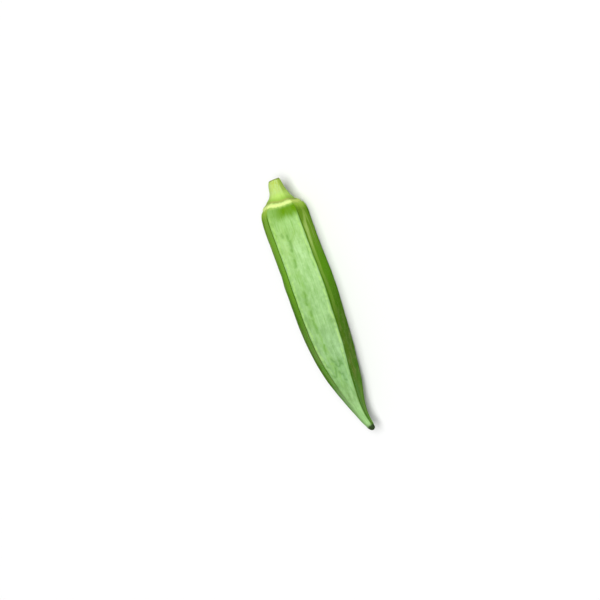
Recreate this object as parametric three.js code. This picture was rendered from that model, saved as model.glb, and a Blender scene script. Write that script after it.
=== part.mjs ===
// An okra pod, picked with its stalk: one solid that grew in one piece.
// From +X to -X it is a short cut stalk, a cup that flares out of the stalk, the ring left by the flower's
// calyx, and a five-ridged pod that tapers to a blunt beak. It lies on one of its five flat sides.
// Millimetres, +Z up. The origin is under the middle of the pod, on the surface that it rests on.
import * as THREE from "three";

const { degToRad, lerp, smoothstep } = THREE.MathUtils;

// Distances along the pod are measured from the cut end of the stalk.
const POD_LENGTH = 120;
const CUT_CHAMFER = 0.35;
const TIP_START = 118.3;
const TIP_RADIUS = 1.5;

// Radius out to the ridges, without the ribs on them, as [distance, radius].
const PROFILE = [
  [0, 2.35],
  [CUT_CHAMFER, 2.6],
  [1.8, 3.1],
  [3.6, 3.45],
  [4.9, 3.7],
  [7.1, 4.6],
  [9.3, 6.2],
  [10.3, 7.2],
  [11.2, 8.2],
  [12, 9.1],
  [12.8, 10],
  [13.8, 10.55],
  [15.5, 11],
  [18, 11.2],
  [36, 11.2],
  [51, 11.6],
  [60, 11.4],
  [68, 11.05],
  [76.5, 10.4],
  [85, 9.25],
  [92.5, 7.85],
  [98.5, 6.45],
  [103, 5.05],
  [107.5, 3.7],
  [112, 2.6],
  [116, 1.95],
  [TIP_START, TIP_RADIUS],
];

// Share of five-sidedness, from 0, round, to 1, fully ridged, as [distance, share].
const RIDGED = [
  [0, 0],
  [5, 0.05],
  [10, 0.15],
  [11.4, 0.32],
  [14, 0.85],
  [17, 1],
  [94, 1],
  [108, 0.8],
  [115, 0.45],
  [POD_LENGTH, 0],
];

// The pod bows sideways, towards +Y, as [distance, offset], and its beak droops.
const BOW = [
  [0, 0.25],
  [2.5, 0.66],
  [5, 0.76],
  [7, 1],
  [10, 1.42],
  [14, 2.15],
  [20, 2.6],
  [45, 3.5],
  [80, 5.4],
  [104, 5.2],
  [112, 4.4],
  [POD_LENGTH, 1.75],
];
const DROOP = 2;
const DROOP_START = 80;
const CENTRE_REACH = 5; // the centre line's direction is taken over this far to both sides
const SQUARE_TO_STALK_END = 20; // slices are square to the stalk up to here, and turn to the bow by the next
const SQUARE_TO_BOW_START = 60;

// Ridge angles round the pod, from -Y through +Z. The last two are the ridges that it lies on. The ridges
// keep the first places along the body and turn towards the second ones, on the beak.
const BODY_RIDGE_DEG = [18, 91, 163, 233.5, 306.5];
const BEAK_RIDGE_DEG = [30, 85, 160, 235, 310];
const TURN_START = 75;
const TURN_END = 104;
const RIDGE_SHARPNESS = 24; // the exponent that rounds a ridge, larger is sharper
const RIB_HEIGHT = 0.28;
const RIB_HALF_WIDTH = 0.75;
const BELLY_BULGE = 0.3; // how far a side swells over the seeds, at its middle
const SUTURE_DEPTH = 0.14; // the seam along the middle of each side
const BELLY = [13, 22, 86, 112]; // where the swelling and the seam start, are full, fade and end

// The ring is a bead with a crease on each side. It is set askew, nearest the stalk at RING_TILT_DEG, and
// stands nearer the stalk at the ridges than between them.
const RING_AT = 11.2;
const RING_HEIGHT = 0.55;
const RING_HALF_WIDTH = 0.65;
const CREASE_AWAY = 1.1; // from the ring's middle
const CREASE_DEPTH = 0.16;
const CREASE_HALF_WIDTH = 0.4;
const RING_WAVE = 0.25;
const RING_TILT = 1;
const RING_TILT_DEG = 150;
const RING_REACH = [6, 10, 12.5, 20]; // where the slices' shift to follow it starts, is full, fades and ends

const FLAT_SPOT_DEPTH = 0.36; // how far the lowest side is pressed flat where it rests

// Facets: how one side is divided from ridge to ridge, and how many slices each stretch of the pod has.
const SIDE_STEPS = [0, 0.03, 0.07, 0.125, 0.2, 0.3, 0.42, 0.5, 0.58, 0.7, 0.8, 0.875, 0.93, 0.97];
const SUTURE_STEP = 0.5;
const STRETCHES = [
  [0, CUT_CHAMFER, 1],
  [CUT_CHAMFER, 7, 6],
  [7, 9.6, 3],
  [9.6, 12.8, 14],
  [12.8, 17, 6],
  [17, 94, 21],
  [94, 115, 9],
  [115, TIP_START, 2],
];
const TIP_SLICES = 4;

// A smooth curve through [distance, value] pairs, with no overshoot between them (monotone cubic).
function curveThrough(points) {
  const rise = points.slice(1).map((p, i) => (p[1] - points[i][1]) / (p[0] - points[i][0]));
  const slope = points.map((_, i) => {
    if (i === 0) return rise[0];
    if (i === rise.length) return rise[i - 1];
    const product = rise[i - 1] * rise[i];
    return product <= 0 ? 0 : (2 * product) / (rise[i - 1] + rise[i]);
  });
  return (at) => {
    const inside = Math.min(Math.max(at, points[0][0]), points[points.length - 1][0]);
    let i = 0;
    while (i < rise.length - 1 && inside > points[i + 1][0]) i += 1;
    const span = points[i + 1][0] - points[i][0];
    const t = (inside - points[i][0]) / span;
    const ease = t * t * (3 - 2 * t);
    const bend = t * (1 - t) * (slope[i] * (1 - t) - slope[i + 1] * t) * span;
    return points[i][1] + (points[i + 1][1] - points[i][1]) * ease + bend;
  };
}

const tableRadius = curveThrough(PROFILE);
const ridgedShare = curveThrough(RIDGED);
const bow = curveThrough(BOW);

// The profile's radius, with the beak closed by a round tip.
function profileRadius(distance) {
  if (distance <= TIP_START) return tableRadius(distance);
  const past = (distance - TIP_START) / (POD_LENGTH - TIP_START);
  return TIP_RADIUS * Math.sqrt(Math.max(0, 1 - past * past));
}

// The five sides at a distance: where each starts, how far round it goes, and which way it faces.
function sidesAt(distance) {
  const turned = smoothstep(distance, TURN_START, TURN_END);
  const ridges = BODY_RIDGE_DEG.map((body, i) => degToRad(lerp(body, BEAK_RIDGE_DEG[i], turned)));
  return ridges.map((from, i) => {
    const to = i + 1 < ridges.length ? ridges[i + 1] : ridges[0] + 2 * Math.PI;
    return { from, span: to - from, facing: (from + to) / 2, inset: Math.cos((to - from) / 2) };
  });
}

// Radius of a unit five-sided section with rounded corners, at an angle round the pod.
function sectionRadius(angle, sides) {
  const sum = sides.reduce((total, side) => {
    const facing = Math.max(0, Math.cos(angle - side.facing));
    return total + (facing / side.inset) ** RIDGE_SHARPNESS;
  }, 0);
  return (2 / sum) ** (1 / RIDGE_SHARPNESS);
}

const bump = (offset, halfWidth) => Math.exp(-((offset / halfWidth) ** 2));

// Rises from 0 to 1 between the first two distances, and falls to 0 again between the last two.
function stretchShare(distance, [start, full, fade, end]) {
  return smoothstep(distance, start, full) * (1 - smoothstep(distance, fade, end));
}

// Radius of the pod's skin, at a distance along it and a step from one ridge (0) to the next (1).
function skinRadius(distance, sides, side, step) {
  const radius = profileRadius(distance);
  const ridged = ridgedShare(distance);
  const angle = side.from + step * side.span;
  const belly = stretchShare(distance, BELLY);
  const offRidge = Math.min(step, 1 - step) * side.span * radius;
  const rib = RIB_HEIGHT * ridged * bump(offRidge, RIB_HALF_WIDTH);
  const bulge = BELLY_BULGE * belly * Math.sin(Math.PI * step) ** 2;
  const suture = step === SUTURE_STEP ? SUTURE_DEPTH * belly : 0;
  const offRing = distance - RING_AT;
  const ring = RING_HEIGHT * bump(offRing, RING_HALF_WIDTH);
  const crease = CREASE_DEPTH * bump(Math.abs(offRing) - CREASE_AWAY, CREASE_HALF_WIDTH);
  const section = radius * (1 - ridged + ridged * sectionRadius(angle, sides));
  const tipFade = Math.min(1, radius / TIP_RADIUS);
  return section + (rib + bulge - suture) * tipFade + ring - crease;
}

// How far a slice near the ring is moved towards the tip, so that it follows the ring.
function ringShift(distance, step, angle) {
  const wave = RING_WAVE * Math.cos(2 * Math.PI * step);
  const tilt = RING_TILT * Math.cos(angle - degToRad(RING_TILT_DEG));
  return -stretchShare(distance, RING_REACH) * (wave + tilt);
}

// The centre line, before the pod is set down: x runs from the stalk (0) to the tip (-POD_LENGTH).
function centre(distance) {
  const droop = DROOP * smoothstep(distance, DROOP_START, POD_LENGTH);
  return new THREE.Vector3(-distance, bow(distance), -droop);
}

// The two directions across the pod: outwards to -Y, and up. They are square to the stalk at its end of the
// pod, and to the bowed centre line from the middle on.
function across(distance) {
  const before = centre(distance - CENTRE_REACH);
  const after = centre(Math.min(POD_LENGTH, distance + CENTRE_REACH));
  const bowed = after.sub(before).normalize();
  const share = smoothstep(distance, SQUARE_TO_STALK_END, SQUARE_TO_BOW_START);
  const along = new THREE.Vector3(-1, 0, 0).lerp(bowed, share).normalize();
  const up = new THREE.Vector3(0, 0, 1);
  const outward = new THREE.Vector3().crossVectors(up, along).normalize();
  return { outward, up: new THREE.Vector3().crossVectors(along, outward).normalize() };
}

function sliceDistances() {
  const distances = [0];
  for (const [from, to, count] of STRETCHES) {
    for (let i = 1; i <= count; i += 1) distances.push(from + ((to - from) * i) / count);
  }
  for (let i = 1; i < TIP_SLICES; i += 1) {
    const turn = (i / TIP_SLICES) * (Math.PI / 2);
    distances.push(TIP_START + (POD_LENGTH - TIP_START) * Math.sin(turn));
  }
  return distances;
}

function podPoints(distances) {
  const points = [];
  for (const distance of distances) {
    const sides = sidesAt(distance);
    for (const side of sides) {
      for (const step of SIDE_STEPS) {
        const angle = side.from + step * side.span;
        const along = distance + ringShift(distance, step, angle);
        const { outward, up } = across(along);
        const radius = skinRadius(distance, sides, side, step);
        const point = centre(along);
        point.addScaledVector(outward, radius * Math.cos(angle));
        point.addScaledVector(up, radius * Math.sin(angle));
        points.push(point);
      }
    }
  }
  return points;
}

// Sets the pod down on z = 0 with its lowest side pressed flat, and centres it over the origin.
function setDown(points) {
  const lowest = Math.min(...points.map((p) => p.z)) + FLAT_SPOT_DEPTH;
  for (const p of points) p.z = Math.max(0, p.z - lowest);
  const box = new THREE.Box3().setFromPoints(points);
  const middle = box.getCenter(new THREE.Vector3());
  for (const p of points) p.sub(new THREE.Vector3(middle.x, middle.y, 0));
}

function podGeometry() {
  const distances = sliceDistances();
  const round = BODY_RIDGE_DEG.length * SIDE_STEPS.length;
  const points = podPoints(distances);
  const cutMiddle = points.push(centre(0)) - 1;
  const tip = points.push(centre(POD_LENGTH)) - 1;
  setDown(points);

  const index = [];
  for (let slice = 0; slice + 1 < distances.length; slice += 1) {
    for (let i = 0; i < round; i += 1) {
      const a = slice * round + i;
      const b = slice * round + ((i + 1) % round);
      index.push(a, b, a + round, b, b + round, a + round);
    }
  }
  const last = (distances.length - 1) * round;
  for (let i = 0; i < round; i += 1) {
    const next = (i + 1) % round;
    index.push(cutMiddle, next, i);
    index.push(tip, last + i, last + next);
  }

  const geometry = new THREE.BufferGeometry().setFromPoints(points);
  geometry.setIndex(index);
  geometry.computeVertexNormals();
  return geometry;
}

const skin = new THREE.MeshStandardMaterial({ color: 0x6fa844, roughness: 0.55, metalness: 0 });
const pod = new THREE.Mesh(podGeometry(), skin);
pod.name = "okra_pod";

const okra = new THREE.Group();
okra.add(pod);

export default okra;
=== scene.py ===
# Looks for an okra pod: a fine skin with relief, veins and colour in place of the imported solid, and hairs.
# Named values are in millimetres and degrees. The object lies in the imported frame, in metres.
import math

import bpy
import numpy as np
from mathutils import Matrix, Vector, noise


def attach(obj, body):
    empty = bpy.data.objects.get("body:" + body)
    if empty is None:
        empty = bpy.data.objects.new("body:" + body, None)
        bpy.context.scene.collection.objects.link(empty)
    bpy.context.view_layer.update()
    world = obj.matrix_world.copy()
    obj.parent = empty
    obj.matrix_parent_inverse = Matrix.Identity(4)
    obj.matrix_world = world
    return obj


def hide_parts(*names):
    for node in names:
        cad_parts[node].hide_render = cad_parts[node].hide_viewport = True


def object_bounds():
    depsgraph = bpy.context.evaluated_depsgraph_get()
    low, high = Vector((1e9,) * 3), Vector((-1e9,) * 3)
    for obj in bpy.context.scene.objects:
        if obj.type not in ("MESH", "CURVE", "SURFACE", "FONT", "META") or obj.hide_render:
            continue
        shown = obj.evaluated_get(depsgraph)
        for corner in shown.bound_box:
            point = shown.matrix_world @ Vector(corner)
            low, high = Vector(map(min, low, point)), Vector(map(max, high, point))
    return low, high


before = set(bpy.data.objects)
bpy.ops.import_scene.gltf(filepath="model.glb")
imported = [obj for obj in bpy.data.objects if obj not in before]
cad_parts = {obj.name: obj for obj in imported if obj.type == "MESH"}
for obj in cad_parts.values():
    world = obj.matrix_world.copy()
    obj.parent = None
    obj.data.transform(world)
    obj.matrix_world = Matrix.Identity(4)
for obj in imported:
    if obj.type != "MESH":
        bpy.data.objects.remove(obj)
cad_low, cad_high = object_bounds()

NODE = "okra_pod"
MM = 0.001
SEED = 7

# The pod's form. Distances along the pod are measured from the cut end of the stalk.
POD_LENGTH = 120
CUT_CHAMFER = 0.35
TIP_START = 118.3
TIP_RADIUS = 1.5
PROFILE = [  # radius out to the ridges, as [distance, radius]
    [0, 2.35], [CUT_CHAMFER, 2.6], [1.8, 3.1], [3.6, 3.45], [4.9, 3.7], [7.1, 4.6], [9.3, 6.2], [10.3, 7.2],
    [11.2, 8.2], [12, 9.1], [12.8, 10], [13.8, 10.55], [15.5, 11], [18, 11.2], [36, 11.2], [51, 11.6],
    [60, 11.4], [68, 11.05], [76.5, 10.4], [85, 9.25], [92.5, 7.85], [98.5, 6.45], [103, 5.05],
    [107.5, 3.7], [112, 2.6], [116, 1.95], [TIP_START, TIP_RADIUS],
]
RIDGED = [  # from 0, round, to 1, five-sided, as [distance, share]
    [0, 0], [5, 0.05], [10, 0.15], [11.4, 0.32], [14, 0.85], [17, 1], [94, 1], [108, 0.8],
    [115, 0.45], [POD_LENGTH, 0],
]
BOW = [  # towards +Y, as [distance, offset]
    [0, 0.25], [2.5, 0.66], [5, 0.76], [7, 1], [10, 1.42], [14, 2.15], [20, 2.6], [45, 3.5], [80, 5.4],
    [104, 5.2], [112, 4.4], [POD_LENGTH, 1.75],
]
DROOP = 2
DROOP_START = 80
CENTRE_REACH = 5
SQUARE_TO_STALK_END = 20
SQUARE_TO_BOW_START = 60
BODY_RIDGE_DEG = [18, 91, 163, 233.5, 306.5]  # round the pod, from -Y through +Z
BEAK_RIDGE_DEG = [30, 85, 160, 235, 310]
TURN_START = 75
TURN_END = 104
RIDGE_SHARPNESS = 24
RIB_HEIGHT = 0.28
RIB_HALF_WIDTH = 0.75
BELLY_BULGE = 0.3
SUTURE_DEPTH = 0.14
SUTURE_HALF_WIDTH = 0.6
BELLY = [13, 22, 86, 112]  # where the swelling and the seam start, are full, fade and end
RING_AT = 11.2
RING_HEIGHT = 0.55
RING_HALF_WIDTH = 0.65
CREASE_AWAY = 1.1
CREASE_DEPTH = 0.16
CREASE_HALF_WIDTH = 0.4
RING_WAVE = 0.25
RING_TILT = 1
RING_TILT_DEG = 150
RING_REACH = [6, 10, 12.5, 20]
FLAT_SPOT_DEPTH = 0.36

# Fine relief of the skin, which the solid leaves out.
NOISE_GAIN = 1.6
NOISE_APART = (17.3, -5.1, 9.7)  # from one pattern of noise to the next, so that no two are alike
SKIN_RADIUS = 11  # patterns are measured round a tube of this radius
RIB_UNEVEN = 0.3  # share by which a rib's height varies
RIB_WANDER = 0.16
FLANK_AT = 1.55  # a shallow furrow beside each rib
FLANK_DEPTH = 0.07
FLANK_HALF_WIDTH = 0.45
DASH_PATH = [  # short cracks that wander off the seam, as [distance, step from ridge to ridge]
    [12, 0.5], [27, 0.57], [45, 0.68], [67, 0.73], [84, 0.66], [108, 0.52],
]
DASH_SWING = [1, -0.6, 0.8, -1, 0.5]  # how far the path of each side swings from its middle
DASH_DEPTH = 0.1
DASH_HALF_WIDTH = 0.28
DASH_WANDER = 0.3
SEED_SPACING = 5.6
SEED_SHIFT = 0.37  # of the spacing, from one side to the next
SEED_HEIGHT = 0.09
SEED_HALF_WIDTH = 3
FIBRE_HEIGHT = 0.035
MOTTLE_HEIGHT = 0.06
MARKED_SIDE = 0  # this side has its own cracks and wrinkles, as lines of (distance, step)
CRACKS = [
    [(24, 0.76), (25.7, 0.75)], [(25.6, 0.57), (27.2, 0.58)], [(28.4, 0.54), (30.5, 0.57), (32.8, 0.6)],
    [(36.5, 0.63), (40, 0.66)], [(51.5, 0.7), (54, 0.71), (57, 0.73)], [(60.5, 0.69), (62.4, 0.7)],
    [(64.2, 0.74), (67.5, 0.72), (70.4, 0.735)], [(76.4, 0.66), (77.2, 0.7), (80.5, 0.71)],
]
WRINKLES = [
    [(89.9, 0.91), (91, 0.87), (91.2, 0.78), (90.4, 0.7)], [(87.4, 0.61), (89.2, 0.65), (90.4, 0.7)],
    [(85.8, 0.5), (87.1, 0.48), (87.4, 0.38), (86.3, 0.29), (86.8, 0.2)],
    [(89.5, 0.5), (90.8, 0.46), (91.2, 0.35), (92.6, 0.37)], [(93.7, 0.38), (94.4, 0.26)],
    [(85.2, 0.3), (85.9, 0.21)], [(83.4, 0.62), (84.6, 0.58), (84.9, 0.5)],
]
MARK_STEP = 12  # on this side, a step from ridge to ridge counts as this many millimetres
MARK_WAVE = 1.6
MARK_WANDER = 0.25
CRACK_HALF_WIDTH = 0.55
WRINKLE_HALF_WIDTH = 0.5
WRINKLE_DEPTH = 0.12
RING_UNEVEN = 0.2
RING_LUMPS = 0.25  # share by which the ring's height varies
STALK_RIB_HEIGHT = 0.06
STALK_RIB_FADE = (7, 11)
CUT_HOLLOW = 0.22
CUT_HOLLOW_REACH = 1.2
CUT_ROUGHNESS = 0.05
CUT_ROUGHNESS_REACH = 0.3
TIP_ROUGHNESS = 0.3
TIP_ROUGHNESS_RISE = (116.3, 118)
TIP_SHRUNK = 0.35  # more of the tip's roughness goes in than out, by this share

# The mesh: columns for one side, and rows for each stretch of the pod.
SIDE_COLUMNS = 54
COLUMN_CROWDING = 0.4  # how much closer columns stand at the ridges and the seam
CUT_INWARD = [2.2, 1.9, 1.6, 1.25, 0.9, 0.65, 0.4, 0.22, 0.08]  # rings on the cut, in from its rim
STRETCHES = [
    [0, CUT_CHAMFER, 3], [CUT_CHAMFER, 9, 24], [9, 14, 34], [14, 22, 22], [22, 94, 186],
    [94, 116, 52], [116, TIP_START, 8],
]
TIP_ROWS = 9
MAP_MARGIN = 0.01  # left free round the map of the skin

# Bloom and painted light of each side, from a deep green (0) to a whitish one (1), on the body and on the
# beak.
# The whitish side is bloom with a painted sheen, and the two darkest sides are in painted shade. The side
# that faces the camera comes first, and the rest follow round the pod.
BODY_BLOOM_AND_PAINTED_LIGHT = [1, 0.05, 0.35, 0.3, 0.01]
BEAK_BLOOM_AND_PAINTED_LIGHT = [1, 0.9, 0.5, 0.5, 0.04]
BEAK_PALE_FROM = 91
BEAK_PALE_TO = 106
DULL_PALENESS = (0.03, 0.2)  # the side within these is the dull one, in lighter painted shade

# Colours, as linear red, green and blue. Those in lists change along the pod, by distance from the cut.
# Bloom, with a painted sheen in its whitish colour.
BLOOM_AND_SHEEN = [
    (20, (0.33, 0.55, 0.2)), (36, (0.385, 0.595, 0.27)), (62, (0.312, 0.51, 0.22)),
    (78, (0.315, 0.515, 0.245)), (92, (0.245, 0.435, 0.185)), (103, (0.285, 0.475, 0.2)),
    (110, (0.325, 0.545, 0.235)),
]
# Deep green; its darkening along the body towards the beak is painted shade.
DEEP = [
    (17, (0.14, 0.285, 0.015)), (27, (0.155, 0.305, 0.021)), (42, (0.098, 0.272, 0.0075)),
    (62, (0.063, 0.177, 0.006)), (80, (0.066, 0.15, 0.0145)), (93, (0.062, 0.182, 0.0155)),
    (104, (0.048, 0.14, 0.009)), (113, (0.1, 0.24, 0.042)),
]
STRIP = [
    (17, (0.26, 0.42, 0.06)), (27, (0.43, 0.62, 0.16)), (40, (0.22, 0.39, 0.05)),
    (55, (0.14, 0.285, 0.026)), (70, (0.077, 0.163, 0.008)), (100, (0.09, 0.16, 0.016)),
]
FLUSH = [
    (17, (0.18, 0.385, 0.035)), (30, (0.16, 0.37, 0.025)), (45, (0.146, 0.36, 0.014)),
    (66, (0.092, 0.245, 0.011)), (84, (0.11, 0.29, 0.033)),
]
EDGE_OLIVE = (0.17, 0.22, 0.06)
LANE_GREEN = (0.22, 0.41, 0.1)
STREAK_GREEN = (0.1, 0.27, 0.012)
DASH_GREEN = (0.07, 0.2, 0.012)
# Also the colour of the painted shade along the beak's far edges.
WRINKLE_AND_EDGE_SHADE_GREEN = (0.09, 0.22, 0.05)
RIDGE_LINE = (0.37, 0.6, 0.15)
# Painted shade, in the furrows and over the far half of the dull side.
PAINTED_SHADE_GREEN = (0.05, 0.145, 0.002)
SHADE_BAND_GREEN = (0.105, 0.245, 0.004)
RING_YELLOW = (0.62, 0.76, 0.26)
RING_SHADOW_AND_BLOTCH = (0.4, 0.56, 0.12)
SHADED_RING_OLIVE = (0.5, 0.63, 0.15)
SHOULDER_GREEN = (0.33, 0.53, 0.065)
CUP_GREEN = (0.4, 0.61, 0.13)
CUP_OLIVE = (0.25, 0.43, 0.055)
STALK_GREEN = (0.41, 0.57, 0.18)
STALK_YELLOW = (0.37, 0.465, 0.05)
SHADED_STALK_OLIVE = (0.27, 0.41, 0.055)
STALK_BROWN = (0.34, 0.35, 0.13)
CREASE_BROWN = (0.33, 0.34, 0.1)
CUT_RIM = (0.13, 0.14, 0.03)
PITH = (0.5, 0.53, 0.26)
TIP_DARK = (0.016, 0.034, 0.01)
TIP_BROWN = (0.038, 0.06, 0.022)
DASH_SHARE = 0.48  # how far a crack or a wrinkle takes its colour at its middle
WRINKLE_SHARE = 0.6

# Where colours rise, fade or lie, as distances along the pod or, where the name says so, off a ridge.
STRIP_BEND = (15.0, 25.0)
STRIP_OFF_RIDGE = (1.4, 4.4)
SHADE_RISE = (40.0, 80.0)
EDGE_RISE = (52.0, 62.0)
STAIN_RISE = (55.0, 80.0)
BLOOM_SHADE_FADE = (40.0, 56.0)
BEAK_EDGE_SHADE_SPAN = (97.0, 114.0)
LANE_SPAN = (20.0, 96.0)
FURROW_SHADE_OFF_RIDGE = (0.1, 1.3)
CREST_OFF_RIDGE = (-0.7, -0.1)
CREST_FADE = (78.0, 98.0)
SHADE_BAND_RISE = (11.0, 14.2)
SHADE_BAND_FADE = (15.6, 20.2)
SHOULDER_FADE = (12.5, 16.6)
RING_SHADOW_SPAN = (12.1, 12.9)
RING_SPAN = (10.5, 12.2)
CREASE_SPAN = (9.65, 10.2)
CUP_EDGE = (11.2, 10.4)
CUP_FADE = (9.9, 7.4)
STALK_FADE = (8.2, 5.2)
WORN_FADE = (5.0, 1.0)
DRIED_SPAN = (-0.25, 0.5)
PITH_EDGE = (-0.25, -0.5)
BROWNING = (116.4, 118.0)
WITHERING = (117.5, 118.1)

# How rough the skin is, how deep light goes into it, and how deep its finest grain is.
BODY_ROUGHNESS = (0.46, 0.58)
STALK_ROUGHNESS = 0.42
TIP_DRY_ROUGHNESS = 0.8
GLOW_DEPTH = 1.2
GLOW_BY_COLOUR = (0.7, 1.0, 0.3)
GRAIN_DEPTH = 0.09

# Hairs: short, stiff and pale, closest together on the ridges.
HAIR_COUNT = 12000
HAIR_LENGTH = (0.14, 0.34)
HAIR_RADIUS = (0.014, 0.024)
HAIR_SUNK = 0.05
HAIR_SLANT = 0.6
HAIR_UNEVEN = 0.55
HAIR_SWEEP = [-0.35, 0, 0]  # towards the tip
HAIRS_RISE = (0.5, 3)
BARE_BELOW = 0.3
HAIRIER_RIDGES = 2.2  # how many more stand there, as a share of those between the ridges
HAIRY_RIDGE_HALF_WIDTH = 0.8
HAIRIER_TIP = 1.5
HAIRIER_TIP_RISE = (108, 117)
HAIR_MAP_FACE = [(0.02, 0.05), (0.23, 0.05), (0.12, 0.95)]  # in a face's quarter of its hair's cell
HAIR_ROOT_GREEN = (0.16, 0.34, 0.04)
HAIR_TIP_GREEN = (0.36, 0.52, 0.14)

# The stage: a sheet of white paper, a wide soft sun and a white sky.
FLOOR_SIDE = 6000
FLOOR_COLOUR = (0.75, 0.75, 0.75)
SUN_ELEVATION = 66
SUN_TURN = 14  # towards the stalk
SUN_ANGLE = 50
SUN_STRENGTH = 3.9
SKY_STRENGTH = 0.22

# The photograph: its side, and the pixels of the cut end's middle and of the tip.
PHOTO_SIDE = 600
CUT_PIXEL = (274.0, 180.45)
TIP_PIXEL = (373.9, 429.9)
VIEW_ELEVATION = 49
LENS = 85
SENSOR = 36


def smoothstep(value, low, high):
    t = np.clip((value - low) / (high - low), 0, 1)
    return t * t * (3 - 2 * t)


def stretch_share(distance, stretch):
    """Rises from 0 to 1 between the stretch's first two distances, and falls to 0 between its last two."""
    start, full, fade, end = stretch
    return smoothstep(distance, start, full) * (1 - smoothstep(distance, fade, end))


def bump(offset, half_width):
    return np.exp(-((offset / half_width) ** 2))


def curve_through(points):
    """A smooth curve through [distance, value] pairs, with no overshoot between them."""
    x, y = np.array(points, float).T
    span = np.diff(x)
    rise = np.diff(y) / span
    product = rise[:-1] * rise[1:]
    total = rise[:-1] + rise[1:]
    inner = np.where(product > 0, 2 * product / np.where(total == 0, 1, total), 0)
    slope = np.concatenate(([rise[0]], inner, [rise[-1]]))

    def value(at):
        inside = np.clip(at, x[0], x[-1])
        i = np.clip(np.searchsorted(x, inside, side="right") - 1, 0, len(span) - 1)
        t = (inside - x[i]) / span[i]
        ease = t * t * (3 - 2 * t)
        bend = t * (1 - t) * (slope[i] * (1 - t) - slope[i + 1] * t) * span[i]
        return y[i] + (y[i + 1] - y[i]) * ease + bend

    return value


table_radius = curve_through(PROFILE)
ridged_share = curve_through(RIDGED)
bow = curve_through(BOW)
dash_path = curve_through(DASH_PATH)


def profile_radius(distance):
    past = np.clip((distance - TIP_START) / (POD_LENGTH - TIP_START), 0, 1)
    return table_radius(distance) * np.sqrt(1 - past * past)


def centre(distance):
    """The centre line before the pod is set down, from the stalk (x = 0) to the tip."""
    droop = DROOP * smoothstep(distance, DROOP_START, POD_LENGTH)
    return np.stack([-distance, bow(distance), -droop], axis=-1)


def unit(vectors):
    return vectors / np.linalg.norm(vectors, axis=-1, keepdims=True)


def across(distance):
    """The two directions across the pod: outwards to -Y, and up."""
    before = centre(distance - CENTRE_REACH)
    after = centre(np.minimum(POD_LENGTH, distance + CENTRE_REACH))
    share = smoothstep(distance, SQUARE_TO_STALK_END, SQUARE_TO_BOW_START)[..., None]
    along = unit(np.array([-1.0, 0, 0]) * (1 - share) + unit(after - before) * share)
    outward = unit(np.cross([0.0, 0, 1], along))
    return outward, unit(np.cross(along, outward))


def row_distances():
    """Distance of each row of the mesh. On the cut's face it is negative: how far in from the rim."""
    rows = [-inward for inward in CUT_INWARD]
    rows.append(0)
    for start, end, count in STRETCHES:
        rows.extend(start + (end - start) * i / count for i in range(1, count + 1))
    for i in range(1, TIP_ROWS):
        turn = math.pi / 2 * i / TIP_ROWS
        rows.append(TIP_START + (POD_LENGTH - TIP_START) * math.sin(turn))
    return np.array(rows, float)


def column_places():
    """Side and step, from one ridge (0) to the next (1), of each column of the mesh."""
    even = np.arange(SIDE_COLUMNS) / SIDE_COLUMNS
    step = even - COLUMN_CROWDING * np.sin(4 * math.pi * even) / (4 * math.pi)
    sides = len(BODY_RIDGE_DEG)
    return np.repeat(np.arange(sides), SIDE_COLUMNS), np.tile(step, sides)


def ridge_angles(distance):
    """Angle of each ridge at each distance, with the first one again at the end."""
    turned = smoothstep(distance, TURN_START, TURN_END)[..., None]
    degrees = np.array(BODY_RIDGE_DEG) * (1 - turned) + np.array(BEAK_RIDGE_DEG) * turned
    return np.radians(np.concatenate([degrees, degrees[..., :1] + 360], axis=-1))


def section_radius(angle, ridges):
    """Radius of a unit five-sided section with rounded corners."""
    total = np.zeros_like(angle)
    for side in range(ridges.shape[-1] - 1):
        start, end = ridges[..., side], ridges[..., side + 1]
        facing = np.maximum(0, np.cos(angle - (start + end) / 2))
        total += (facing / np.cos((end - start) / 2)) ** RIDGE_SHARPNESS
    return (2 / total) ** (1 / RIDGE_SHARPNESS)


def wander(x, y, z, apart=0):
    """Smooth noise, from about -1 to 1, whose waves are about one unit long."""
    x, y, z = np.broadcast_arrays(x, y, z)
    places = zip(*(axis.ravel() + away * apart for axis, away in zip((x, y, z), NOISE_APART)))
    values = np.fromiter((noise.noise(place) for place in places), float, x.size)
    return values.reshape(x.shape) * NOISE_GAIN


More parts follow.
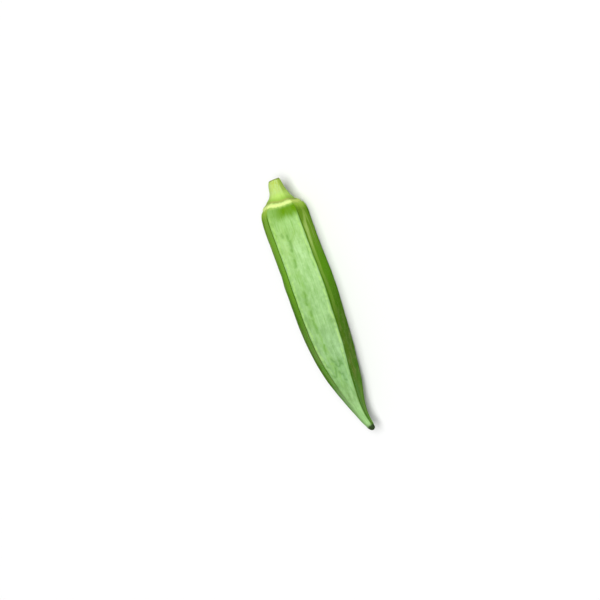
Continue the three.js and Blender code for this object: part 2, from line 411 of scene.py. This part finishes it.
class Grid:
    """The pod's skin as rows along it and columns round it, with what patterns need at each point."""

    def __init__(self):
        rows = row_distances()
        side, step = column_places()
        shape = (len(rows), len(step))
        self.rows, self.columns = shape
        self.along = np.broadcast_to(rows[:, None], shape)
        self.side = np.broadcast_to(side, shape)
        self.step = np.broadcast_to(step, shape)
        self.distance = np.maximum(self.along, 0)
        ridges = ridge_angles(self.distance[:, 0])[:, None, :]
        self.ridges = np.broadcast_to(ridges, (*shape, ridges.shape[-1]))
        start = np.take_along_axis(self.ridges, self.side[..., None], axis=-1)[..., 0]
        end = np.take_along_axis(self.ridges, self.side[..., None] + 1, axis=-1)[..., 0]
        span = end - start
        self.angle = start + self.step * span
        self.profile = profile_radius(self.distance)
        self.ridged = ridged_share(self.distance)
        self.off_ridge = np.minimum(self.step, 1 - self.step) * span * self.profile
        self.off_seam = np.abs(self.step - 0.5) * span * self.profile
        path = 0.5 + (dash_path(self.distance) - 0.5) * np.array(DASH_SWING)[self.side]
        self.off_path = np.abs(self.step - path) * span * self.profile
        self.round_x = SKIN_RADIUS * np.cos(self.angle)
        self.round_y = SKIN_RADIUS * np.sin(self.angle)
        self.belly = stretch_share(self.distance, BELLY)
        off_path = self.off_path + DASH_WANDER * self.noise(7, 9, 4)
        dashed = smoothstep(self.noise(5, 9, 3), -0.05, 0.4) * self.belly * (self.side != MARKED_SIDE)
        self.dashes = np.maximum(dashed * bump(off_path, DASH_HALF_WIDTH),
                                 self.marks(CRACKS, CRACK_HALF_WIDTH))
        self.wrinkles = self.marks(WRINKLES, WRINKLE_HALF_WIDTH)

    def marks(self, lines, half_width):
        """How near each point of the marked side is to the lines, from 0 to 1."""
        along = self.distance + MARK_WANDER * self.noise(MARK_WAVE, MARK_WAVE, 14)
        sideways = self.step * MARK_STEP + MARK_WANDER * self.noise(MARK_WAVE, MARK_WAVE, 15)
        nearest = np.full(self.step.shape, np.inf)
        for line in lines:
            for (from_x, from_y), (to_x, to_y) in zip(line, line[1:]):
                run_x, run_y = to_x - from_x, (to_y - from_y) * MARK_STEP
                off_x, off_y = along - from_x, sideways - from_y * MARK_STEP
                part = np.clip((off_x * run_x + off_y * run_y) / (run_x ** 2 + run_y ** 2), 0, 1)
                away = np.hypot(off_x - part * run_x, off_y - part * run_y)
                nearest = np.minimum(nearest, away)
        return bump(nearest, half_width) * (self.side == MARKED_SIDE)

    def noise(self, long_wave, round_wave, apart=0):
        """Noise with waves this long along the pod and round it."""
        return wander(self.along / long_wave, self.round_x / round_wave, self.round_y / round_wave, apart)


def skin_radius(grid):
    """Radius of the skin: the solid's form, with the fine relief on it."""
    rib_shape = grid.off_ridge + RIB_WANDER * grid.noise(6, 4, 1)
    rib = RIB_HEIGHT * (1 + RIB_UNEVEN * grid.noise(5, 3, 2)) * bump(rib_shape, RIB_HALF_WIDTH)
    flank = FLANK_DEPTH * bump(grid.off_ridge - FLANK_AT, FLANK_HALF_WIDTH)
    bulge = BELLY_BULGE * grid.belly * np.sin(math.pi * grid.step) ** 2
    seam = SUTURE_DEPTH * grid.belly * bump(grid.off_seam, SUTURE_HALF_WIDTH)

    off_ring = grid.distance - RING_AT + RING_UNEVEN * grid.noise(40, 2.5, 5)
    uneven = 1 + RING_LUMPS * grid.noise(40, 1.6, 6)
    ring = RING_HEIGHT * uneven * bump(off_ring, RING_HALF_WIDTH)
    crease = CREASE_DEPTH * bump(np.abs(off_ring) - CREASE_AWAY, CREASE_HALF_WIDTH)

    seed_wave = 0.5 + 0.5 * np.cos(2 * math.pi * (grid.distance / SEED_SPACING + SEED_SHIFT * grid.side))
    seeds = SEED_HEIGHT * grid.belly * seed_wave * bump(grid.off_seam, SEED_HALF_WIDTH)
    fibres = FIBRE_HEIGHT * grid.noise(22, 0.75, 7) + 0.6 * FIBRE_HEIGHT * grid.noise(9, 0.45, 8)
    mottle = MOTTLE_HEIGHT * grid.noise(4.5, 3.2, 9)
    stalk = STALK_RIB_HEIGHT * (1 - smoothstep(grid.distance, *STALK_RIB_FADE)) * grid.noise(14, 2.2, 11)
    near_tip = smoothstep(grid.distance, *TIP_ROUGHNESS_RISE)
    tip = TIP_ROUGHNESS * near_tip * (grid.noise(1.5, 5, 12) - TIP_SHRUNK)

    section = grid.profile * (1 - grid.ridged + grid.ridged * section_radius(grid.angle, grid.ridges))
    cracks = DASH_DEPTH * grid.dashes + WRINKLE_DEPTH * grid.wrinkles
    on_body = (rib - flank) * grid.ridged + bulge - seam - cracks + seeds + mottle * grid.belly
    fade = np.minimum(1, grid.profile / TIP_RADIUS)
    radius = section + (on_body + fibres + stalk + tip) * fade + ring - crease
    return radius * np.clip(1 + np.minimum(grid.along, 0) / PROFILE[0][1], 0, 1)


def skin_points(grid):
    """The skin's points, set down with the lowest side pressed flat, and fitted to the solid's box."""
    near_ring = stretch_share(grid.distance, RING_REACH)
    tilt = RING_TILT * np.cos(grid.angle - math.radians(RING_TILT_DEG))
    at = grid.distance - near_ring * (RING_WAVE * np.cos(2 * math.pi * grid.step) + tilt)
    outward, up = across(at)
    radius = skin_radius(grid)[..., None]
    angle = grid.angle[..., None]
    points = centre(at) + outward * radius * np.cos(angle) + up * radius * np.sin(angle)

    inward = np.minimum(-grid.along, PROFILE[0][1]) * (grid.along < 0)
    rough = CUT_ROUGHNESS * wander(grid.round_x / 4, grid.round_y / 4, grid.along * 2, 13)
    rough = rough * smoothstep(inward, 0, CUT_ROUGHNESS_REACH)
    points[..., 0] -= CUT_HOLLOW * smoothstep(inward, 0, CUT_HOLLOW_REACH) + rough

    ends = np.array([points[0].mean(axis=0), centre(np.array(float(POD_LENGTH)))])
    points = np.concatenate([points.reshape(-1, 3), ends])
    points[:, 2] = np.maximum(0, points[:, 2] - points[:, 2].min() - FLAT_SPOT_DEPTH)
    low, high = points.min(axis=0), points.max(axis=0)
    return np.array(cad_low) + (points - low) / (high - low) * np.array(cad_high - cad_low)


def skin_faces(grid):
    """Quads between the rows, and a fan of triangles at each end, with a map of where each corner is."""
    row, column = np.meshgrid(np.arange(grid.rows - 1), np.arange(grid.columns), indexing="ij")
    row, column = row.ravel(), column.ravel()
    after = (column + 1) % grid.columns
    quads = np.stack([row * grid.columns + column, row * grid.columns + after,
                      (row + 1) * grid.columns + after, (row + 1) * grid.columns + column], axis=1)
    places = np.stack([np.stack([row, column], 1), np.stack([row, column + 1], 1),
                       np.stack([row + 1, column + 1], 1), np.stack([row + 1, column], 1)], axis=1)
    cut_middle, tip = grid.rows * grid.columns, grid.rows * grid.columns + 1
    last = (grid.rows - 1) * grid.columns
    faces = quads.tolist()
    corners = places.reshape(-1, 2).tolist()
    for i in range(grid.columns):
        after = (i + 1) % grid.columns
        faces.append([cut_middle, after, i])
        corners.extend([[-0.5, i + 0.5], [0, i + 1], [0, i]])
    for i in range(grid.columns):
        after = (i + 1) % grid.columns
        faces.append([tip, last + i, last + after])
        corners.extend([[grid.rows - 0.5, i + 0.5], [grid.rows - 1, i], [grid.rows - 1, i + 1]])
    corners = (np.array(corners) + [0.5, 0]) / [grid.rows, grid.columns]
    return faces, MAP_MARGIN + (1 - 2 * MAP_MARGIN) * corners


def add_object(name, data):
    thing = bpy.data.objects.new(name, data)
    bpy.context.scene.collection.objects.link(thing)
    return thing


def add_piece(name, points, faces, corners):
    """A smooth mesh with a map, as an object."""
    mesh = bpy.data.meshes.new(name)
    mesh.from_pydata(points.tolist(), [], faces)
    mesh.shade_smooth()
    layer = mesh.uv_layers.new(name="OFBake")
    layer.uv.foreach_set("vector", corners.astype(np.float32).ravel())
    return add_object(name, mesh)


def add_values(mesh, name, values):
    """Gives each point of a mesh a number or a vector, which its material reads by this name."""
    kind = "FLOAT_VECTOR" if values.ndim == 2 else "FLOAT"
    attribute = mesh.attributes.new(name, kind, "POINT")
    field = "vector" if values.ndim == 2 else "value"
    attribute.data.foreach_set(field, values.astype(np.float32).ravel())


def with_ends(values):
    """A value for each point of the grid, and the two end points."""
    flat = values.reshape(-1, *values.shape[2:])
    return np.concatenate([flat, values[0].mean(axis=0)[None], values[-1].mean(axis=0)[None]])


def make_skin(grid):
    skin = add_piece("okra_pod_skin", skin_points(grid), *skin_faces(grid))
    # Bloom and painted light of each side: painted sheen on the side facing the camera, painted shade on the
    # darkest two.
    body, beak = np.array(BODY_BLOOM_AND_PAINTED_LIGHT), np.array(BEAK_BLOOM_AND_PAINTED_LIGHT)
    on_beak = smoothstep(grid.distance, BEAK_PALE_FROM, BEAK_PALE_TO)
    pale = body[grid.side] * (1 - on_beak) + beak[grid.side] * on_beak
    nearest = np.where(grid.step < 0.5, grid.side - 1, grid.side + 1) % len(body)
    darker = np.where(body[grid.side] < body[nearest], 1, -1)  # than the side past the nearest ridge
    values = {
        "along": grid.along,
        "off_ridge": grid.off_ridge,
        "past_ridge": grid.off_ridge * darker,
        "off_path": grid.off_path,
        "bloom_and_painted_light": pale,
        "step": grid.step,
        "dashes": grid.dashes,
        "wrinkles": grid.wrinkles,
        "ridged": grid.ridged,
        "skin_place": np.stack([grid.along, grid.round_x, grid.round_y], axis=-1),
    }
    for name, field in values.items():
        add_values(skin.data, name, with_ends(field))
    return skin


class Shader:
    """A material that is built up from sockets."""

    def __init__(self, name):
        self.material = bpy.data.materials.new(name)
        self.material.use_nodes = True
        self.nodes = self.material.node_tree.nodes
        self.links = self.material.node_tree.links
        self.surface = self.nodes["Principled BSDF"]

    def put(self, socket, value):
        if isinstance(value, bpy.types.NodeSocket):
            self.links.new(value, socket)
        elif isinstance(value, tuple) and len(value) == 3 and socket.type == "RGBA":
            socket.default_value = (*value, 1)
        else:
            socket.default_value = value

    def attribute(self, name, output="Fac"):
        node = self.nodes.new("ShaderNodeAttribute")
        node.attribute_name = name
        return node.outputs[output]

    def stretch(self, vector, factors):
        node = self.nodes.new("ShaderNodeVectorMath")
        node.operation = "MULTIPLY"
        self.put(node.inputs[0], vector)
        self.put(node.inputs[1], factors)
        return node.outputs[0]

    def noise(self, vector, scale, detail=2.0, roughness=0.5):
        node = self.nodes.new("ShaderNodeTexNoise")
        self.put(node.inputs["Vector"], vector)
        self.put(node.inputs["Scale"], scale)
        self.put(node.inputs["Detail"], detail)
        self.put(node.inputs["Roughness"], roughness)
        return node.outputs["Fac"]

    def math(self, operation, first, second):
        node = self.nodes.new("ShaderNodeMath")
        node.operation = operation
        self.put(node.inputs[0], first)
        self.put(node.inputs[1], second)
        return node.outputs[0]

    def times(self, first, *others):
        for other in others:
            first = self.math("MULTIPLY", first, other)
        return first

    def plus(self, first, second):
        return self.math("ADD", first, second)

    def steps(self, value, start, end, low=0.0, high=1.0):
        """Goes smoothly from low, where value is at start, to high, where it is at end."""
        node = self.nodes.new("ShaderNodeMapRange")
        node.interpolation_type = "SMOOTHSTEP"
        for socket, number in zip(node.inputs, (value, start, end, low, high)):
            self.put(socket, number)
        return node.outputs[0]

    def between(self, value, start, end, soft):
        """1 between start and end, and 0 beyond the soft edges round them."""
        rising = self.steps(value, start - soft, start + soft)
        falling = self.steps(value, end - soft, end + soft, 1.0, 0.0)
        return self.times(rising, falling)

    def mix(self, share, first, second):
        node = self.nodes.new("ShaderNodeMix")
        node.data_type = "RGBA"
        self.put(node.inputs[0], share)
        self.put(node.inputs[6], first)
        self.put(node.inputs[7], second)
        return node.outputs[2]

    def bump(self, height, distance):
        node = self.nodes.new("ShaderNodeBump")
        self.put(node.inputs["Distance"], distance)
        self.put(node.inputs["Height"], height)
        return node.outputs["Normal"]

    def set(self, **values):
        for name, value in values.items():
            self.put(self.surface.inputs[name.replace("_", " ")], value)


class SkinShader(Shader):
    """The skin's material, with the values and patterns that its colours are mixed by."""

    def __init__(self):
        super().__init__("okra_skin")
        self.along = self.attribute("along")
        self.off_ridge = self.attribute("off_ridge")
        self.past_ridge = self.attribute("past_ridge")
        self.off_path = self.attribute("off_path")
        self.bloom_and_painted_light = self.attribute("bloom_and_painted_light")
        self.step = self.attribute("step")
        self.ridged = self.attribute("ridged")
        self.place = self.attribute("skin_place", "Vector")
        # Waves of these are longer along the pod than round it.
        self.veins = self.pattern((0.045, 1.1, 1.1), 2.0, 0.55)
        self.fibres = self.pattern((0.16, 3.2, 3.2), 2.0, 0.6)
        self.mottles = self.pattern((0.17, 0.3, 0.3), 3.0, 0.55)
        self.blotches = self.pattern((0.6, 0.75, 0.75), 2.0, 0.5)
        self.drift = self.pattern((0.05, 0.12, 0.12), 1.0, 0.5)
        self.specks = self.noise(self.place, 1.9, 2.0, 0.6)
        self.grain = self.noise(self.place, 5.0, 2.0, 0.6)
        self.dull = self.between(self.bloom_and_painted_light, *DULL_PALENESS, 0.02)

    def pattern(self, waves, detail, roughness):
        """Noise with this many waves to a millimetre along the pod and round it."""
        return self.noise(self.stretch(self.place, waves), 1.0, detail, roughness)

    def changing(self, colours):
        """A colour that goes through a list of (distance, colour) pairs, along the pod."""
        colour = colours[0][1]
        for (start, _), (end, following) in zip(colours, colours[1:]):
            colour = self.mix(self.steps(self.along, float(start), float(end)), colour, following)
        return colour


def dark_sides(s):
    """Deep green with a paler strip beside a ridge, an olive edge and stains.

    The side that is not quite as dark has a wide flush of green in the strip's place, and painted shade over
    its far half.
    """
    deep = s.changing(DEEP)
    aside = s.plus(s.steps(s.drift, 0.3, 0.7, -0.7, 0.7), s.steps(s.along, *STRIP_BEND, -4.2, 0.0))
    strip = s.between(s.plus(s.off_ridge, aside), *STRIP_OFF_RIDGE, 0.8)
    strip = s.times(strip, s.steps(s.step, 0.25, 0.4), s.steps(s.bloom_and_painted_light, 0.02, 0.05, 1.0, 0.4))
    strip = s.times(strip, s.steps(s.veins, 0.35, 0.6, 0.6, 1.0))
    deep = s.mix(strip, deep, s.changing(STRIP))
    flush = s.times(s.dull, s.between(s.step, 0.08, 0.5, 0.1), s.steps(s.veins, 0.3, 0.6, 0.75, 1.0))
    deep = s.mix(flush, deep, s.changing(FLUSH))
    # Painted shade over the far half of the dull side, more towards the beak.
    shade = s.times(s.dull, s.steps(s.step, 0.5, 0.8), s.steps(s.along, *SHADE_RISE, 0.25, 0.85))
    deep = s.mix(shade, deep, PAINTED_SHADE_GREEN)
    edge = s.times(s.steps(s.step, 0.14, 0.04), s.steps(s.along, *EDGE_RISE))
    edge = s.times(edge, s.steps(s.blotches, 0.35, 0.6, 0.2, 0.8))
    stained = s.times(s.steps(s.mottles, 0.46, 0.7), s.steps(s.along, *STAIN_RISE, 0.15, 0.6))
    return s.mix(s.plus(edge, stained), deep, EDGE_OLIVE)


def bloomed_and_sheened(s, colour):
    """The pale bloom with a painted sheen, which covers the side that faces up most, and the streaks and
    specks left bare.
    """
    bloom = s.steps(s.mottles, 0.3, 0.68, 0.68, 1.06)
    bloom = s.times(bloom, s.steps(s.blotches, 0.32, 0.66, 0.82, 1.0), s.steps(s.veins, 0.3, 0.6, 0.84, 1.0))
    # Painted shade: the bloom fades towards each side's far ridge, most on the stretch nearest the stalk.
    shaded = s.times(s.steps(s.step, 0.5, 0.95), s.steps(s.along, *BLOOM_SHADE_FADE, 0.24, 0.1))
    bloom = s.times(bloom, s.steps(s.specks, 0.3, 0.62, 0.91, 1.0), s.plus(1.0, s.times(shaded, -1.0)))
    colour = s.mix(s.times(bloom, s.bloom_and_painted_light), colour, s.changing(BLOOM_AND_SHEEN))
    # Painted shade along the far half of each side on the beak, except the side facing the camera.
    rim = s.times(s.steps(s.step, 0.42, 0.66), s.steps(s.bloom_and_painted_light, 0.97, 0.9))
    rim = s.times(rim, s.between(s.along, *BEAK_EDGE_SHADE_SPAN, 5.0), s.steps(s.veins, 0.3, 0.6, 0.4, 0.75))
    colour = s.mix(rim, colour, WRINKLE_AND_EDGE_SHADE_GREEN)
    streaked = s.times(s.steps(s.fibres, 0.5, 0.75), s.steps(s.veins, 0.35, 0.6, 0.8, 0.2))
    colour = s.mix(s.times(streaked, 0.8), colour, STREAK_GREEN)
    speckled = s.times(s.steps(s.grain, 0.5, 0.72), s.steps(s.specks, 0.4, 0.65))
    return s.mix(s.times(speckled, 0.3), colour, STREAK_GREEN)


def marked(s, colour):
    """A dull lane that wanders along each paler side, the dark cracks, and the wrinkles."""
    on_body = s.between(s.along, *LANE_SPAN, 6.0)
    lane = s.times(s.steps(s.off_path, 0.3, 2.4, 0.7, 0.0), s.steps(s.blotches, 0.3, 0.6, 1.0, 0.4), on_body)
    colour = s.mix(s.times(lane, s.steps(s.bloom_and_painted_light, 0.1, 0.3)), colour, LANE_GREEN)
    colour = s.mix(s.times(s.attribute("dashes"), DASH_SHARE), colour, DASH_GREEN)
    return s.mix(s.times(s.attribute("wrinkles"), WRINKLE_SHARE), colour, WRINKLE_AND_EDGE_SHADE_GREEN)


def ridge_lines(s, colour):
    """Each ridge is a pale line on the paler side, and a dark furrow of painted shade on the darker one."""
    wavering = s.plus(s.past_ridge, s.steps(s.mottles, 0.3, 0.7, 0.0, 0.7))
    # Painted shade in the furrow beside each ridge.
    flank = s.times(s.between(wavering, *FURROW_SHADE_OFF_RIDGE, 0.3), s.ridged)
    flank = s.times(flank, s.steps(s.veins, 0.3, 0.6, 1.0, 0.7), s.steps(s.bloom_and_painted_light, 0.1, 0.6, 1.0, 0.35))
    colour = s.mix(flank, colour, PAINTED_SHADE_GREEN)
    crest = s.times(s.between(wavering, *CREST_OFF_RIDGE, 0.3), s.ridged)
    crest = s.times(crest, s.steps(s.blotches, 0.3, 0.6, 0.05, 0.5), s.steps(s.along, *CREST_FADE, 1.0, 0.15))
    return s.mix(crest, colour, RIDGE_LINE)


def shoulders(s, colour):
    """The saturated band of painted shade under the ring of a pale side, and the light shoulder of a dark
    one.
    """
    ragged = s.plus(s.along, s.steps(s.veins, 0.3, 0.7, 0.9, -0.9))
    # Painted shade under the ring, where the shoulder turns away from the light.
    band = s.times(s.steps(s.along, *SHADE_BAND_RISE, 0.35, 1.0), s.steps(ragged, *SHADE_BAND_FADE, 1.0, 0.0))
    band = s.times(band, s.steps(s.step, 0.97, 0.45, 0.25, 1.0), s.steps(s.mottles, 0.25, 0.6, 0.85, 1.0))
    colour = s.mix(s.times(band, s.steps(s.bloom_and_painted_light, 0.1, 0.4)), colour, SHADE_BAND_GREEN)
    shoulder = s.times(s.steps(ragged, *SHOULDER_FADE, 0.9, 0.0), s.steps(s.bloom_and_painted_light, 0.4, 0.1))
    return s.mix(shoulder, colour, SHOULDER_GREEN)


def cup_and_stalk(s, colour):
    """The cup, the stalk with its worn and brown places and painted shade on its darkest side, and the brown
    crease by the ring.
    """
    colour = s.mix(s.steps(s.along, *CUP_EDGE), colour, CUP_OLIVE)
    cup = s.times(s.steps(s.along, *CUP_FADE), s.steps(s.veins, 0.3, 0.6, 0.7, 1.0))
    colour = s.mix(cup, colour, CUP_GREEN)
    worn = s.times(s.steps(s.blotches, 0.42, 0.62), s.steps(s.along, *WORN_FADE, 0.35, 1.0))
    stalk = s.mix(worn, STALK_GREEN, STALK_YELLOW)
    # Painted shade on the stalk's darkest side.
    stalk = s.mix(s.times(s.steps(s.bloom_and_painted_light, 0.03, 0.02), 0.8), stalk, SHADED_STALK_OLIVE)
    stalk = s.mix(s.times(s.dull, s.between(s.step, 0.62, 0.84, 0.08)), stalk, STALK_BROWN)
    colour = s.mix(s.steps(s.along, *STALK_FADE), colour, stalk)
    return s.mix(s.times(s.between(s.along, *CREASE_SPAN, 0.3), 0.75), colour, CREASE_BROWN)


def ringed(s, colour):
    """The yellowish ring with darker blotches, in painted shade on the darkest side, and a painted shadow
    under it.
    """
    waved = s.plus(s.along, s.steps(s.blotches, 0.3, 0.7, 0.22, -0.22))
    # Painted shadow under the ring.
    colour = s.mix(s.times(s.between(waved, *RING_SHADOW_SPAN, 0.35), 0.4), colour, RING_SHADOW_AND_BLOTCH)
    # Painted shade on the ring where it crosses the darkest side.
    ring = s.mix(s.steps(s.bloom_and_painted_light, 0.04, 0.02), RING_YELLOW, SHADED_RING_OLIVE)
    ring = s.mix(s.times(s.steps(s.blotches, 0.45, 0.7), 0.22), ring, RING_SHADOW_AND_BLOTCH)
    return s.mix(s.times(s.between(waved, *RING_SPAN, 0.4), 0.95), colour, ring)


def cut_end(s, colour):
    """The cut end of the stalk: a dried brown rim round pale pith."""
    dried = s.times(s.between(s.along, *DRIED_SPAN, 0.3), s.steps(s.blotches, 0.35, 0.6, 0.45, 1.0))
    colour = s.mix(dried, colour, CUT_RIM)
    rings = s.pattern((6.0, 0.3, 0.3), 2.0, 0.5)
    pith = s.mix(s.steps(rings, 0.35, 0.65), PITH, CUP_GREEN)
    return s.mix(s.steps(s.along, *PITH_EDGE), colour, pith)


def withered_tip(s, colour):
    """The brownish end of the beak, and its blackish tip."""
    uneven = s.plus(s.steps(s.grain, 0.3, 0.7, -0.2, 0.2), s.steps(s.veins, 0.35, 0.65, -0.3, 0.3))
    ending = s.plus(s.along, uneven)
    colour = s.mix(s.steps(ending, *BROWNING, 0.0, 0.25), colour, TIP_BROWN)
    withered = s.mix(s.steps(s.grain, 0.35, 0.65), TIP_DARK, TIP_BROWN)
    return s.mix(s.steps(ending, *WITHERING), colour, withered)


def skin_material():
    s = SkinShader()
    colour = dark_sides(s)
    for layer in (bloomed_and_sheened, marked, ridge_lines, shoulders, cup_and_stalk, ringed, cut_end, withered_tip):
        colour = layer(s, colour)
    roughness = s.steps(s.mottles, 0.3, 0.7, *BODY_ROUGHNESS)
    roughness = s.mix(s.steps(s.along, 11.0, 9.0), roughness, (STALK_ROUGHNESS,) * 3)
    roughness = s.mix(s.steps(s.along, 117.3, 118.6), roughness, (TIP_DRY_ROUGHNESS,) * 3)
    height = s.plus(s.times(s.fibres, 0.5), s.plus(s.times(s.grain, 0.35), s.times(s.specks, 0.3)))
    s.set(Base_Color=colour, Roughness=roughness, Normal=s.bump(height, GRAIN_DEPTH * MM))
    s.set(Subsurface_Weight=0.1, Subsurface_Radius=GLOW_BY_COLOUR, Subsurface_Scale=GLOW_DEPTH * MM)
    s.set(Specular_IOR_Level=0.0, IOR=1.45)
    return s.material


def hair_map(count):
    """A map of the hairs: a cell for each, with its three long faces and its root side by side."""
    across_map = math.ceil(math.sqrt(count))
    cell = np.stack([np.arange(count) % across_map, np.arange(count) // across_map], axis=1)
    shapes = [[(i / 4 + x, y) for x, y in HAIR_MAP_FACE] for i in range(4)]
    return (cell[:, None, None, :] + np.array(shapes)[None]) / across_map


def hair_roots(rng, points, grid):
    """Where hairs stand, and the way out of the skin there. More stand on the ridges and near the tip."""
    after = np.roll(points, -1, axis=1)
    one, two = after[:-1] - points[:-1], points[1:] - points[:-1]
    normal = np.cross(one, two)
    area = np.linalg.norm(normal, axis=-1)
    along, off_ridge = grid.along[:-1], grid.off_ridge[:-1]
    on_ridge = bump(off_ridge, HAIRY_RIDGE_HALF_WIDTH) * grid.ridged[:-1]
    wanted = 1 + HAIRIER_RIDGES * on_ridge + HAIRIER_TIP * smoothstep(along, *HAIRIER_TIP_RISE)
    wanted = wanted * smoothstep(along, *HAIRS_RISE) * (points[:-1, :, 2] > BARE_BELOW * MM)
    chance = (area * wanted).ravel()
    picked = rng.choice(chance.size, HAIR_COUNT, p=chance / chance.sum())
    share_one, share_two = rng.random((2, HAIR_COUNT, 1))
    root = points[:-1].reshape(-1, 3)[picked]
    root = root + one.reshape(-1, 3)[picked] * share_one + two.reshape(-1, 3)[picked] * share_two
    return root, unit(normal.reshape(-1, 3)[picked])


def hair_points(rng, root, out):
    """Four points for each hair: three round its root, sunk into the skin, and its tip."""
    lean = HAIR_UNEVEN * rng.normal(size=(HAIR_COUNT, 3)) + HAIR_SWEEP
    direction = unit(out + HAIR_SLANT * lean)
    length = rng.uniform(*HAIR_LENGTH, (HAIR_COUNT, 1)) * MM
    radius = rng.uniform(*HAIR_RADIUS, (HAIR_COUNT, 1)) * MM
    side = unit(np.cross(direction, rng.normal(size=(HAIR_COUNT, 3))))
    other = np.cross(direction, side)
    sunk = root - direction * HAIR_SUNK * MM
    corners = [sunk + radius * (side * math.cos(turn) + other * math.sin(turn))
               for turn in np.radians([0, 120, 240])]
    return np.stack([*corners, root + direction * length], axis=1)


def make_hairs(skin, grid):
    rng = np.random.default_rng(SEED)
    points = np.array([vertex.co[:] for vertex in skin.data.vertices])[: grid.rows * grid.columns]
    root, out = hair_roots(rng, points.reshape(grid.rows, grid.columns, 3), grid)
    points = hair_points(rng, root, out)
    above_floor = points[points[:, :, 2].min(axis=1) > 0]
    count = len(above_floor)
    first = np.arange(count)[:, None, None] * 4
    faces = (first + np.array([[0, 1, 3], [1, 2, 3], [2, 0, 3], [0, 2, 1]])).reshape(-1, 3)
    hairs = add_piece("okra_pod_hairs", above_floor.reshape(-1, 3), faces.tolist(), hair_map(count))
    add_values(hairs.data, "to_tip", np.tile([0.0, 0.0, 0.0, 1.0], count))
    return hairs


def hair_material():
    s = Shader("okra_hair")
    to_tip = s.attribute("to_tip")
    colour = s.mix(s.steps(to_tip, 0.0, 0.6), HAIR_ROOT_GREEN, HAIR_TIP_GREEN)
    s.set(Base_Color=colour, Roughness=s.steps(to_tip, 0.0, 1.0, 0.6, 0.5))
    s.set(Specular_IOR_Level=0.3)
    return s.material


def make_floor():
    half = FLOOR_SIDE * MM / 2
    mesh = bpy.data.meshes.new("floor")
    corners = [(-half, -half, 0), (half, -half, 0), (half, half, 0), (-half, half, 0)]
    mesh.from_pydata(corners, [], [(0, 1, 2, 3)])
    s = Shader("floor_paper")
    s.set(Base_Color=FLOOR_COLOUR, Roughness=0.8)
    mesh.materials.append(s.material)
    floor = add_object("floor", mesh)


def make_lights():
    sun = bpy.data.lights.new("sun", "SUN")
    sun.energy = SUN_STRENGTH
    sun.angle = math.radians(SUN_ANGLE)
    lamp = add_object("sun", sun)
    elevation, turn = math.radians(SUN_ELEVATION), math.radians(SUN_TURN)
    towards = Vector((math.sin(turn), -math.cos(turn), 0)) * math.cos(elevation)
    towards.z = math.sin(elevation)
    lamp.rotation_euler = towards.to_track_quat("Z", "Y").to_euler()
    lamp.location = towards
    world = bpy.data.worlds.new("studio")
    world.use_nodes = True
    world.node_tree.nodes["Background"].inputs["Color"].default_value = (1, 1, 1, 1)
    world.node_tree.nodes["Background"].inputs["Strength"].default_value = SKY_STRENGTH
    bpy.context.scene.world = world


def make_camera(cut, tip):
    """Puts the cut's middle and the tip on their pixels of the photograph."""
    elevation = math.radians(VIEW_ELEVATION)
    towards = Vector((0, -math.cos(elevation), math.sin(elevation)))
    chord = tip - cut
    run = chord - towards * chord.dot(towards)
    pixels = Vector((TIP_PIXEL[0] - CUT_PIXEL[0], CUT_PIXEL[1] - TIP_PIXEL[1]))
    size = run.length / pixels.length
    first = run.normalized()
    second = towards.cross(first)
    pixels.normalize()
    right = first * pixels.x - second * pixels.y
    above = first * pixels.y + second * pixels.x
    middle_x = (CUT_PIXEL[0] + TIP_PIXEL[0]) / 2 - PHOTO_SIDE / 2
    middle_y = PHOTO_SIDE / 2 - (CUT_PIXEL[1] + TIP_PIXEL[1]) / 2
    target = (cut + tip) / 2 - right * middle_x * size - above * middle_y * size
    data = bpy.data.cameras.new("camera")
    data.lens = LENS
    data.sensor_width = SENSOR
    data.clip_start = 0.01
    camera = add_object("camera", data)
    place = target + towards * (PHOTO_SIDE * size * LENS / SENSOR)
    turned = Matrix((right, above, towards)).transposed().to_4x4()
    camera.matrix_world = Matrix.Translation(place) @ turned
    bpy.context.scene.camera = camera


grid = Grid()
skin = make_skin(grid)
skin.data.materials.append(skin_material())
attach(skin, "root")
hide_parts(NODE)

hairs = make_hairs(skin, grid)
hairs.data.materials.append(hair_material())
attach(hairs, "root")

make_floor()
make_lights()
ends = [skin.data.vertices[grid.rows * grid.columns + i].co.copy() for i in range(2)]
make_camera(*ends)
bpy.context.scene.view_settings.view_transform = "Standard"
